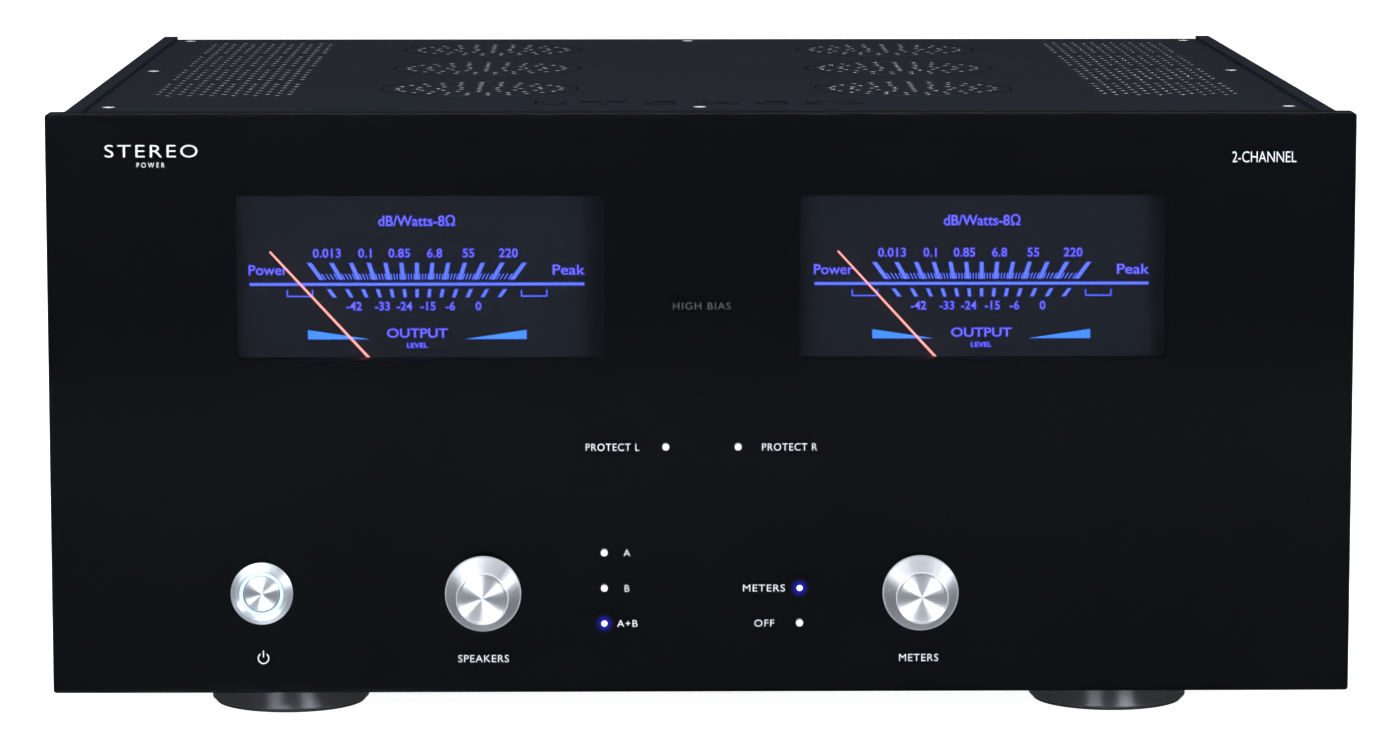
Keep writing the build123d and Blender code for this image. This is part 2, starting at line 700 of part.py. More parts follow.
def lying(x, depth, z, radius, length):
    """A cylinder along X, about its middle."""
    with Locations(Location((x, back(depth), z), (0, 90, 0))):
        Cylinder(radius, length)


def make_amplifier_boards():
    """Power transistors on the inside of each heat sink, and the driver board beside them."""
    sink = HEATSINK_X[0]
    board_in, board_out = 118.0, 118.0 + BOARD
    with BuildPart() as transistors:
        for side in (-1, 1):
            near, far = sorted((side * (sink - 5), side * sink))
            for depth in TRANSISTOR_DEPTHS:
                block((near, far), (depth - 8, depth + 8), (60, 81))
    write(transistors, "power_transistors")

    with BuildPart() as boards:
        for side in (-1, 1):
            near, far = sorted((side * board_in, side * board_out))
            block((near, far), (90, 362), (40, 160))
            for depth in (100, 352):
                for z in (48, 152):
                    lying(side * (board_out + sink) / 2, depth, z, 3, sink - board_out)
            for depth in TRANSISTOR_DEPTHS:
                lying(side * (board_in - 7), depth, 145, 6, 14)
    write(boards, "driver_boards")


def make_rear_boards():
    with BuildPart() as board:
        block((-180, 180), INPUT_BOARD, (124, 180))
        for side in (-1, 1):
            rod(side * XLR_X, LINE_Z, XLR_R + 0.7, INPUT_BOARD, Mode.SUBTRACT)
            rod(side * RCA_X, LINE_Z, RCA_R + 1.35, INPUT_BOARD, Mode.SUBTRACT)
            for z in (128, 176):
                rod(side * 170, z, 2.5, (INPUT_BOARD[1], REAR_INNER))
        block((-13, 13), INPUT_BOARD, (LINE_Z - 7, LINE_Z + 7), Mode.SUBTRACT)
    write(board, "input_board")

    with BuildPart() as boards:
        for side in (-1, 1):
            near, far = sorted((side * 66, side * 188))
            block((near, far), OUTPUT_BOARD, (42, 92))
            for x in TERMINAL_X:
                if x * side > 0:
                    rod(x, TERMINAL_Z, POST_R, OUTPUT_BOARD, Mode.SUBTRACT)
            for x in (94, 125, 156):
                block((side * x - 7, side * x + 7), (OUTPUT_BOARD[0] - 12, OUTPUT_BOARD[0]), (44, 58))
    write(boards, "output_boards")


# ---------------------------------------------------------------- rear connectors


def make_terminals():
    """Binding posts: an insulator through the rear panel, a metal post and a screw cap."""
    with BuildPart() as insulators:
        for x in TERMINAL_X:
            rod(x, TERMINAL_Z, 8.4, (REAR_FACE, INSULATOR[1]))
            rod(x, TERMINAL_Z, INSULATOR_R, (INSULATOR[0], REAR_FACE))
            rod(x, TERMINAL_Z, POST_R, INSULATOR, Mode.SUBTRACT)
    write(insulators, "terminal_insulators")

    with BuildPart() as posts:
        for x in TERMINAL_X:
            rod(x, TERMINAL_Z, POST_R, (376, TERMINAL_END))
            rod(x, TERMINAL_Z, 7.0, (INSULATOR[0] - 4, INSULATOR[0]))
            rod(x, TERMINAL_Z, BANANA_R, (TERMINAL_END - BANANA_LENGTH, TERMINAL_END), Mode.SUBTRACT)
            column(x, 404.5, 1.4, (TERMINAL_Z - 6, TERMINAL_Z + 6), Mode.SUBTRACT)
    write(posts, "terminal_posts")

    for number, x in enumerate(TERMINAL_X, 1):
        with BuildPart() as cap:
            with BuildSketch(upright(CAP_START)):
                Circle(CAP_R)
                with PolarLocations(CAP_R + 0.6, 14):
                    Circle(1.1, mode=Mode.SUBTRACT)
                Circle(POST_R + SLIDING, mode=Mode.SUBTRACT)
            extrude(amount=-(TERMINAL_END - CAP_START))
        cap.part.position = (x, 0, TERMINAL_Z)
        write(cap, f"terminal_cap_{number}")


def make_line_inputs():
    """Round sockets with a sleeve and a centre contact, and balanced sockets with three contacts."""
    with BuildPart() as rca:
        for side in (-1, 1):
            x = side * RCA_X
            rod(x, LINE_Z, 7.0, (REAR_FACE, FLANGE_FACE))
            rod(x, LINE_Z, RCA_R, (386, 409))
            rod(x, LINE_Z, 3.3, (401, 409), Mode.SUBTRACT)
            rod(x, LINE_Z, 2.2, (401, 408))
            rod(x, LINE_Z, 1.65, (400.5, 408), Mode.SUBTRACT)
    write(rca, "rca_jacks")

    across, rise = XLR_SCREW
    with BuildPart() as xlr:
        for side in (-1, 1):
            x = side * XLR_X
            with BuildSketch(upright(REAR_FACE)):
                with Locations((x, LINE_Z)):
                    RectangleRounded(26, 31, 3)
            extrude(amount=REAR_FACE - FLANGE_FACE)
            rod(x, LINE_Z, XLR_R, (374, REAR_FACE))
            rod(x, LINE_Z, 9.7, (385, FLANGE_FACE), Mode.SUBTRACT)
            rod(x, LINE_Z, 7.8, (385, FLANGE_FACE - 0.5))
            for angle in (30, 150, 270):
                pin_x, pin_z = x + 4 * cos(radians(angle)), LINE_Z + 4 * sin(radians(angle))
                rod(pin_x, pin_z, 1.3, (386, FLANGE_FACE - 0.5), Mode.SUBTRACT)
            for corner in (-1, 1):
                rod(x + corner * across, LINE_Z + corner * rise, SMALL_HOLE_R, (REAR_FACE, FLANGE_FACE),
                    Mode.SUBTRACT)
    write(xlr, "xlr_jacks")


def make_mains_inlet():
    """A three-pin inlet: a flanged body with a cavity round its flat pins."""
    cavity_w, cavity_h = 12.3, 8.3
    pin_places = ((-7, -1), (0, 3), (7, -1))
    shell_start, cavity_start = 381.0, 384.0

    def pins_between(depth, mode=Mode.ADD):
        for x, z in pin_places:
            block((x - 1, x + 1), depth, (INLET_Z + z - 2, INLET_Z + z + 2), mode)

    with BuildPart() as inlet:
        with BuildSketch(upright(REAR_FACE)):
            with Locations((0, INLET_Z)):
                RectangleRounded(50, 26, 4)
        extrude(amount=REAR_FACE - INLET_FACE)
        block((-14, 14), (shell_start, REAR_FACE), (INLET_Z - 10, INLET_Z + 10))
        block((-cavity_w, cavity_w), (cavity_start, INLET_FACE), (INLET_Z - cavity_h, INLET_Z + cavity_h),
              Mode.SUBTRACT)
        pins_between((shell_start, cavity_start), Mode.SUBTRACT)
        for side in (-1, 1):
            rod(side * INLET_SCREW_X, INLET_Z, SMALL_HOLE_R, (REAR_FACE, INLET_FACE), Mode.SUBTRACT)
    write(inlet, "mains_inlet")

    with BuildPart() as pins:
        pins_between((374, 396.5))
    write(pins, "inlet_pins")


def make_input_switch():
    """A slide switch that chooses the round or the balanced input, at its left position."""
    slot_x, slot_z = SWITCH_SLOT
    with BuildPart() as switch:
        block((-12, 12), (386, REAR_INNER), (LINE_Z - 6, LINE_Z + 6))
        block((-slot_x, slot_x), (391.5, REAR_INNER), (LINE_Z - slot_z, LINE_Z + slot_z), Mode.SUBTRACT)
    write(switch, "input_switch")

    with BuildPart() as lever:
        block((-SWITCH_THROW - 2, -SWITCH_THROW + 2), (392, 402), (LINE_Z - 1.8, LINE_Z + 1.8))
    write(lever, "input_switch_lever")


os.makedirs("parts", exist_ok=True)
make_front_glass()
make_front_panel()
make_inner_front_plate()
make_side_panel(-1, "side_panel_left")
make_side_panel(1, "side_panel_right")
make_cover_rails()
make_top_cover()
make_bottom_plate()
make_rear_panel()
make_cover_screws()
make_chassis_screws()
make_foot(-FOOT_X, FOOT_DEPTHS[0], "foot_front_left")
make_foot(FOOT_X, FOOT_DEPTHS[0], "foot_front_right")
make_foot(-FOOT_X, FOOT_DEPTHS[1], "foot_rear_left")
make_foot(FOOT_X, FOOT_DEPTHS[1], "foot_rear_right")
make_foot_pads()
make_power_button()
make_knob(SPEAKER_X, "speaker_knob", "speaker_shaft")
make_knob(METER_X, "meter_knob", "meter_shaft")
make_selector_switches()
make_panel_nuts()
make_indicators()
make_meter_cases()
make_meter_dial(-1, "meter_dial_left")
make_meter_dial(1, "meter_dial_right")
make_meter_magnets()
make_meter_pointer(-1, "meter_pointer_left")
make_meter_pointer(1, "meter_pointer_right")
make_transformer()
make_power_supply()
make_heatsinks()
make_amplifier_boards()
make_rear_boards()
make_terminals()
make_line_inputs()
make_mains_inlet()
make_input_switch()
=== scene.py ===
import json
from functools import cache
from math import cos, pi, radians, sin, tan

import bmesh
import bpy
from mathutils import Matrix, Vector


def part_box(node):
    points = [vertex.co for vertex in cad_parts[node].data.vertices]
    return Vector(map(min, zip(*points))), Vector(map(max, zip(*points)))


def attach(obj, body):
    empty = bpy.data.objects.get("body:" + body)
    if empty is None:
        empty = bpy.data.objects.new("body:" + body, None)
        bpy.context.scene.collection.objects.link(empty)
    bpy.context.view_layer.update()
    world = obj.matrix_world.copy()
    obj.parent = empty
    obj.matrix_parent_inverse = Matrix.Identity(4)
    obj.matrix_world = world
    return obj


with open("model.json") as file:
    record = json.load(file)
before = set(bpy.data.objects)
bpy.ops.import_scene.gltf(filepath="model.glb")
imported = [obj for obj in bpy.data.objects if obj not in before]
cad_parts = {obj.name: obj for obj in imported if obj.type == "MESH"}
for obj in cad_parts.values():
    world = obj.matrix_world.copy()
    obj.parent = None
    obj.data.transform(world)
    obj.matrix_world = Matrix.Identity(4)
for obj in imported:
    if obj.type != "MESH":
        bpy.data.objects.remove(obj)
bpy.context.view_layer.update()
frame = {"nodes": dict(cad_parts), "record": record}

MM = 0.001
CHASSIS = "chassis"

# Planes that the frame gives, in metres
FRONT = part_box("front_glass")[0].y
DIAL_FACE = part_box("meter_dial_left")[0].y
COVER_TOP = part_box("top_cover")[1].z
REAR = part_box("rear_panel")[1].y

# Dimensions of the design, in millimetres, the same as the CAD's
PIVOT_Z = 105.75
HOLE_R = 1.4
COLUMNS, COLUMN_PITCH = 13, 3.8
COLUMN_HOLES, HOLE_PITCH = 24, 11.8
RECT_VENT_X, RECT_VENT_START = 164.4, 100.8
ROUND_VENT_X = 76.4
ROUND_VENT_DEPTHS = (132.5, 233.5, 334.5)
VENT_RINGS = ((7.25, 6), (14.5, 12), (21.75, 19), (29.0, 25))
COVER_SCREWS = [(x, depth) for x in (-199.0, 0.0, 199.0) for depth in (51.0, 222.0, 390.0)
                if x or depth != 222.0]
TERMINAL_X = (-170, -142, -108, -80, 80, 108, 142, 170)
LAMPS_ON = ((-32.3, 36.1), (32.4, 47.9))

# Printing, glow, painted groove shade and painted screw glints, in millimetres
PRINT = 0.03
LAMP_CORE_R, LAMP_HALO_R = 0.95, 4.0
GROOVE_SHADE_BANDS = ((33.8, 34.3), (35.0, 35.5))
SCREW_GLINT_RADII, SCREW_GLINT_THICKNESS, SCREW_GLINT_SUNK = (0.7, 2.0), 0.1, 0.15

# Outlines of edge pieces: a vent hole's worked edge, past its radius and above the cover, and a knob's
# painted edge highlights, from its axis and back
VENT_EDGE = ((0.12, 0.02), (-0.05, 0.02), (-0.18, -0.45), (-0.02, -0.45))
KNOB_HIGHLIGHT_OUTLINES = (((12.57, 0.1), (12.57, 0.92), (12.3, 1.64)), ((8.66, 11.0), (8.42, 11.29)))
KNOB_HIGHLIGHT_THICKNESS = 0.05

# Short straight sides that make up a circle of each kind
HOLE_SIDES, SCREW_SIDES, DISC_SIDES, RING_SIDES, LARGE_SIDES = 12, 24, 32, 40, 96

# Front words: their middle, the height of a capital, and then width, weight and spacing
LEGENDS = (
    ("PROTECT L", -29.5, 95.1, 2.4, 17.7, -0.002, 1.12),
    ("PROTECT R", 29.0, 95.1, 2.4, 18.2, -0.002, 1.12),
    ("A", -24.8, 59.8, 2.3, None, -0.002),
    ("B", -24.8, 47.9, 2.3, None, -0.002),
    ("A+B", -24.7, 36.1, 2.3, 6.8, -0.002, 1.1),
    ("METERS", 20.6, 47.9, 2.3, 13.9, -0.004, 1.12),
    ("OFF", 20.7, 36.1, 2.3, 6.6, -0.004, 1.1),
    ("SPEAKERS", -72.4, 24.4, 2.4, 16.8, -0.004, 1.1),
    ("METERS", 72.0, 24.4, 2.4, 13.0, -0.004, 1.1),
)
TITLES = (
    ("STEREO", -180.3, 193.3, 4.1, 30.4, -0.006, 1.2),
    ("POWER", -180.5, 188.7, 1.6, 9.2, 0.0, 1.6),
    ("2-CHANNEL", 184.7, 191.0, 3.6, 21.1, -0.006),
)
UNLIT = (("HIGH BIAS", 0, 142.0, 2.3, 19.0, -0.006, 1.15),)
POWER_SIGN = (-145.3, 24.7)

# The word on the cover, given in the same way, with its depth behind the front for its height
COVER_WORD = ("STEREO", 0, 66.7, 11.0, 112.0, 0.0, 1.3)
COVER_WORD_THICKNESS = 0.35

# Rear words, with places as seen from behind: those of each side, and those in the middle
REAR_SIDE_WORDS = (
    ("{} SPEAKERS", 125, 92, 4.0),
    ("A", 156, 83, 3.6),
    ("B", 94, 83, 3.6),
    ("{}", 152, 170, 3.6),
    ("LINE", 152, 136, 3.2),
    ("BALANCED", 106, 130, 3.2),
)
REAR_MIDDLE_WORDS = (
    ("INPUT", 0, 166, 3.6),
    ("LINE", -13, 160, 2.8),
    ("BAL", 13, 160, 2.8),
    ("AC IN", 0, 80, 4.0),
)
SIGN_Z, SIGN_HEIGHT = 49, 4.5

# Dial printing, from the middle of its scale and from the height of the pointer's pivot
SCALE_X = {"left": -94.2, "right": 93.1}
SCALE_HALF, SCALE_LINE = 55.4, (41.5, 42.35)
TICK_COUNT, TICK_STEP, FINE_STEP = 13, 6.0, 1.2
UPPER_TICK, LOWER_TICK, FINE_TICK = (43.5, 49.0, 1.2), (37.6, 40.2, 1.0), (43.5, 45.4, 0.32)
BRACKET_X, BRACKET_Z, BRACKET_LINE = (34.6, 43.0), (37.9, 39.9), 0.15
RAMP_NEAR, RAMP_FAR, RAMP_LOW, RAMP_HIGH = 16.0, 36.2, 23.6, 26.6
UPPER_FIGURES_Z, LOWER_FIGURES_Z = 52.3, 34.6
UPPER_FIGURES = (("0.013", -29.8), ("0.1", -17.2), ("0.85", -5.8), ("6.8", 5.9), ("55", 17.1), ("220", 30.3))
LOWER_FIGURES = (("-42", -20.9), ("-33", -11.5), ("-24", -4.2), ("-15", 3.6), ("-6", 11.0), ("0", 20.3))
DIAL_WORDS = (
    ("Power", -49.2, 46.7, 3.2, 12.9),
    ("Peak", 50.3, 46.7, 3.2, 10.6),
    ("dB/Watts-8Ω", 0, 63.0, 3.3, 25.3, 0.002),
    ("OUTPUT", 0, 25.6, 2.9, 20.0, 0.002),
    ("LEVEL", 0, 21.5, 1.5, 6.8, 0.01),
)
DIAL_SPREAD = 0.32

# Where the dial's light starts and where it is full, at its left and at its right, as shares of its width
DIAL_FADES = ((-0.02, 0.055), (0.99, 0.92))

# Where a turned piece's face ends, from its middle, as shares of its height
FACE_END = (-0.42, -0.36)

# The range that most of a noise texture's values lie in
NOISE_RANGE = (0.3, 0.7)

# Sockets of a Mix node that is set to colour
MIX_FACTOR, MIX_FIRST, MIX_SECOND, MIX_RESULT = 0, 6, 7, 2

# The camera's place in metres, with its distance from the front, its direction and its lens
CAMERA_X, CAMERA_DISTANCE, CAMERA_Z = -0.0252, 1.719, 0.342
CAMERA_AIM = (0.0143, 1.0, -0.1287)
CAMERA_LENS = 135.27


# ---------------------------------------------------------------- materials


def linear(*color):
    """A colour given as 0 to 255 sRGB, in the shader's linear values."""
    shares = [c / 255 for c in color]
    return tuple(c / 12.92 if c <= 0.04045 else ((c + 0.055) / 1.055) ** 2.4 for c in shares)


def shader_of(name):
    """A new material, its node tree and its shader."""
    material = bpy.data.materials.new(name)
    material.use_nodes = True
    tree = material.node_tree
    return material, tree, tree.nodes["Principled BSDF"]


def set_sockets(node, settings):
    """Plain values on a node's own sockets. A socket's name may have underscores for its spaces."""
    for socket, value in settings.items():
        node.inputs[socket.replace("_", " ")].default_value = value


def noise(tree, scale, stretch=(1, 1, 1), detail=4.0):
    """Noise over object coordinates, stretched along a grain direction."""
    place = tree.nodes.new("ShaderNodeTexCoord").outputs["Object"]
    mapping = tree.nodes.new("ShaderNodeMapping")
    set_sockets(mapping, {"Scale": stretch})
    texture = tree.nodes.new("ShaderNodeTexNoise")
    set_sockets(texture, {"Scale": scale, "Detail": detail})
    tree.links.new(place, mapping.inputs["Vector"])
    tree.links.new(mapping.outputs["Vector"], texture.inputs["Vector"])
    return texture.outputs[0]


def mapped(tree, value, source, target, interpolation="LINEAR"):
    """A value carried over from a source range to a target range."""
    node = tree.nodes.new("ShaderNodeMapRange")
    node.interpolation_type = interpolation
    set_sockets(node, {"From Min": source[0], "From Max": source[1]})
    set_sockets(node, {"To Min": target[0], "To Max": target[1]})
    tree.links.new(value, node.inputs["Value"])
    return node.outputs["Result"]


def ranged(tree, value, low, high):
    """A noise spread between two values."""
    return mapped(tree, value, NOISE_RANGE, (low, high))


def faded(tree, value, low_end, high_end, low=0.0, high=1.0):
    """Low at one value and high at another, with a soft start and end."""
    return mapped(tree, value, (low_end, high_end), (low, high), "SMOOTHSTEP")


def vector_math(tree, operation, value, other=(0, 0, 0)):
    """A linked vector put together with a fixed one."""
    node = tree.nodes.new("ShaderNodeVectorMath")
    node.operation = operation
    tree.links.new(value, node.inputs[0])
    node.inputs[1].default_value = other
    return node


def combined(tree, operation, first, second):
    """Two linked values put together."""
    node = tree.nodes.new("ShaderNodeMath")
    node.operation = operation
    tree.links.new(first, node.inputs[0])
    tree.links.new(second, node.inputs[1])
    return node.outputs["Value"]


def mixed(tree, factor, first, second):
    """A colour between two, by a linked factor."""
    node = tree.nodes.new("ShaderNodeMix")
    node.data_type = "RGBA"
    node.inputs[MIX_FIRST].default_value = (*first, 1)
    node.inputs[MIX_SECOND].default_value = (*second, 1)
    tree.links.new(factor, node.inputs[MIX_FACTOR])
    return node.outputs[MIX_RESULT]


def bumped(tree, shader, height, strength, distance):
    """Relief from a height, over the shader's own surface."""
    bump = tree.nodes.new("ShaderNodeBump")
    set_sockets(bump, {"Strength": strength, "Distance": distance})
    tree.links.new(height, bump.inputs["Height"])
    tree.links.new(bump.outputs["Normal"], shader.inputs["Normal"])


def from_axis(tree, across):
    """The distance from a piece's own axis, as a share of its width, and its place from its middle."""
    place = tree.nodes.new("ShaderNodeTexCoord").outputs["Generated"]
    centred = vector_math(tree, "SUBTRACT", place, (0.5, 0.5, 0.5)).outputs["Vector"]
    flat = vector_math(tree, "MULTIPLY", centred, across).outputs["Vector"]
    return vector_math(tree, "LENGTH", flat).outputs["Value"], centred


def surface(name, color, roughness, metallic=0.0, grain=1500.0, stretch=(1, 1, 1), tone=0.15, spread=0.06,
            relief=0.02, depth=0.0001, **settings):
    """A finish with a fine grain in its colour, roughness and relief, and slow smudges in its roughness."""
    material, tree, shader = shader_of(name)
    fine = noise(tree, grain, stretch)
    slow = noise(tree, 14.0, detail=2.0)
    dark = tuple(c * (1 - tone) for c in color)
    light = tuple(min(1, c * (1 + tone)) for c in color)
    tree.links.new(mixed(tree, fine, dark, light), shader.inputs["Base Color"])
    shader.inputs["Metallic"].default_value = metallic

    grained = ranged(tree, fine, roughness - spread, roughness + spread)
    smudged = ranged(tree, slow, -spread / 2, spread / 2)
    tree.links.new(combined(tree, "ADD", grained, smudged), shader.inputs["Roughness"])
    bumped(tree, shader, fine, relief, depth)
    set_sockets(shader, settings)
    return material


def spun(name, color, roughness, metallic, axis="Y", rings=420.0):
    """Turned metal: rings round the piece's own axis, and a highlight that follows them. It has one metallic
    value at the low end of its axis, which is a knob's face, and one beyond."""
    material, tree, shader = shader_of(name)
    along = Vector((0, 1, 0)) if axis == "Y" else Vector((0, 0, 1))
    radius, centred = from_axis(tree, Vector((1, 1, 1)) - along)
    height = vector_math(tree, "DOT_PRODUCT", centred, along).outputs["Value"]
    groove = tree.nodes.new("ShaderNodeTexNoise")
    groove.noise_dimensions = "1D"
    set_sockets(groove, {"Scale": rings, "Detail": 6.0})
    tree.links.new(combined(tree, "ADD", radius, height), groove.inputs["W"])
    grooves = groove.outputs[0]

    dark = tuple(c * 0.82 for c in color)
    tree.links.new(mixed(tree, grooves, dark, color), shader.inputs["Base Color"])
    tree.links.new(ranged(tree, grooves, roughness - 0.05, roughness + 0.05), shader.inputs["Roughness"])
    tree.links.new(faded(tree, height, *FACE_END, *metallic), shader.inputs["Metallic"])
    set_sockets(shader, {"Anisotropic": 1.0, "Anisotropic_Rotation": 0.25})
    tangent = tree.nodes.new("ShaderNodeTangent")
    tangent.direction_type = "RADIAL"
    tangent.axis = axis
    tree.links.new(tangent.outputs["Tangent"], shader.inputs["Tangent"])
    bumped(tree, shader, grooves, 0.05, 0.00002)
    return material


def glowing(name, color, strength, body=(0.02, 0.02, 0.03)):
    """A lit print or lens: its glow has the slight unevenness of a lamp behind ink."""
    material = surface(name, body, 0.4, grain=2600.0, relief=0.01)
    tree = material.node_tree
    shader = tree.nodes["Principled BSDF"]
    patch = noise(tree, 160.0, detail=2.0)
    dim = tuple(c * 0.86 for c in color)
    tree.links.new(mixed(tree, patch, dim, color), shader.inputs["Emission Color"])
    shader.inputs["Emission Strength"].default_value = strength
    return material


def smoked_acrylic():
    """Polished smoked sheet: clear enough for what is lit behind it, and dark over what is not."""
    return surface("smoked_acrylic", (0.36, 0.40, 0.45), 0.03, grain=40.0, tone=0.02, spread=0.01, relief=0.0,
                   Transmission_Weight=1.0, IOR=1.14)


def lamp_halo():
    """Light that spreads in the smoked sheet round a lit lamp."""
    material = surface("lamp_halo", (0.0022, 0.0026, 0.003), 0.03, grain=40.0, tone=0.02, spread=0.01,
                       relief=0.0, IOR=1.14, Emission_Strength=0.5)
    tree = material.node_tree
    near = faded(tree, from_axis(tree, (1, 0, 1))[0], 0.5, 0.06)
    glow = mixed(tree, combined(tree, "MULTIPLY", near, near), (0, 0, 0), (0.03, 0.03, 1.0))
    tree.links.new(glow, tree.nodes["Principled BSDF"].inputs["Emission Color"])
    return material


def printed_dial():
    """The dial sheet, lit from within the case, with a fine printed tooth. The light fades at both ends."""
    material = surface("dial_sheet", linear(23, 26, 34), 0.7, grain=3000.0, tone=0.1, relief=0.03,
                       Specular_IOR_Level=0.2)
    tree = material.node_tree
    shader = tree.nodes["Principled BSDF"]
    place = tree.nodes.new("ShaderNodeTexCoord").outputs["Generated"]
    across = tree.nodes.new("ShaderNodeSeparateXYZ")
    tree.links.new(place, across.inputs["Vector"])
    left, right = [faded(tree, across.outputs["X"], *ends) for ends in DIAL_FADES]
    lit = mixed(tree, combined(tree, "MULTIPLY", left, right), linear(9, 9, 11), linear(41, 41, 48))
    tree.links.new(lit, shader.inputs["Emission Color"])
    shader.inputs["Emission Strength"].default_value = 1.0
    return material


# The finish for each material slot: mostly a colour, a roughness, a metallic value and the grain's scale
FINISHES = {
    "smoked_glass": smoked_acrylic,
    "black_aluminium": lambda: surface("black_brushed_aluminium", linear(8, 10, 12), 0.45, 0.0, 260.0,
                                       (1, 60, 60), Specular_IOR_Level=0.05),
    "grey_steel": lambda: surface("dark_powder_paint", linear(26, 32, 44), 0.5, 0.0, 3200.0, tone=0.25,
                                  relief=0.12, depth=0.00015, Specular_IOR_Level=0.15),
    "zinc_steel": lambda: surface("zinc_plate", (0.42, 0.43, 0.44), 0.35, 1.0, 500.0, tone=0.2),
    "bright_screws": lambda: surface("black_oxide_screw", (0.05, 0.052, 0.058), 0.4, 0.6, 900.0),
    "foot_black": lambda: spun("turned_black_anodised", (0.23, 0.24, 0.27), 0.42, (0.9, 0.9), "Z", 160.0),
    "rubber": lambda: surface("pad_rubber", (0.015, 0.015, 0.016), 0.8, 0.0, 2200.0, relief=0.2),
    "spun_aluminium": lambda: spun("spun_aluminium_face", (0.83, 0.88, 0.95), 0.42, (0.92, 0.87)),
    "bezel_metal": lambda: spun("bezel_metal_face", (0.78, 0.86, 0.95), 0.45, (0.84, 0.84)),
    "light_ring": lambda: glowing("power_ring_glow", (0.55, 0.78, 1.0), 0.1, (0.34, 0.48, 0.64)),
    "switch_black": lambda: surface("switch_moulding", (0.02, 0.02, 0.021), 0.5, 0.0, 1800.0),
    "brass_nut": lambda: surface("nickelled_brass", (0.7, 0.62, 0.42), 0.3, 1.0, 700.0),
    "indicator_white": lambda: glowing("indicator_lens", (0.9, 0.93, 1.0), 0.25, (0.38, 0.38, 0.4)),
    "circuit_green": lambda: surface("solder_resist", (0.02, 0.11, 0.05), 0.35, 0.0, 400.0, tone=0.3),
    "meter_case": lambda: surface("meter_moulding", (0.012, 0.012, 0.014), 0.5, 0.0, 1600.0),
    "dial_black": printed_dial,
    "magnet_steel": lambda: surface("magnet_metal", (0.35, 0.35, 0.37), 0.4, 1.0, 800.0),
    "pointer_red": lambda: glowing("pointer_glow", (1.0, 0.27, 0.22), 4.8, (0.4, 0.05, 0.03)),
    "core_steel": lambda: surface("laminations", (0.12, 0.12, 0.125), 0.5, 0.6, 300.0, (1, 12, 1),
                                  relief=0.3),
    "winding_copper": lambda: surface("winding_tape", (0.45, 0.27, 0.04), 0.35, 0.0, 500.0, (1, 1, 10)),
    "capacitor_sleeve": lambda: surface("can_sleeve", (0.015, 0.02, 0.06), 0.3, 0.0, 500.0),
    "heatsink_black": lambda: surface("heatsink_anodised", (0.02, 0.02, 0.022), 0.45, 0.5, 700.0, (1, 1, 12)),
    "transistor_black": lambda: surface("epoxy_case", (0.02, 0.02, 0.02), 0.55, 0.0, 1500.0),
    "gold_plate": lambda: surface("gold_plating", (1.0, 0.72, 0.3), 0.3, 0.8, 900.0, tone=0.08),
    "connector_black": lambda: surface("connector_nylon", (0.02, 0.02, 0.022), 0.48, 0.0, 1400.0),
    "connector_nickel": lambda: surface("pin_nickel", (0.62, 0.61, 0.58), 0.28, 1.0, 900.0),
    "cap_red": lambda: surface("cap_red_moulding", (0.5, 0.012, 0.012), 0.3, 0.0, 900.0, Coat_Weight=0.3),
    "cap_black": lambda: surface("cap_black_moulding", (0.02, 0.02, 0.021), 0.3, 0.0, 900.0, Coat_Weight=0.3),
}


def dress_frame():
    """Give each carried-over piece the finish of its material slot."""
    made = {slot: make() for slot, make in FINISHES.items()}
    for part in frame["record"]["subparts"]:
        node = frame["nodes"][part["node"]]
        node.data.materials.clear()
        node.data.materials.append(made[part["material_slot"]])


# ---------------------------------------------------------------- lettering and printing


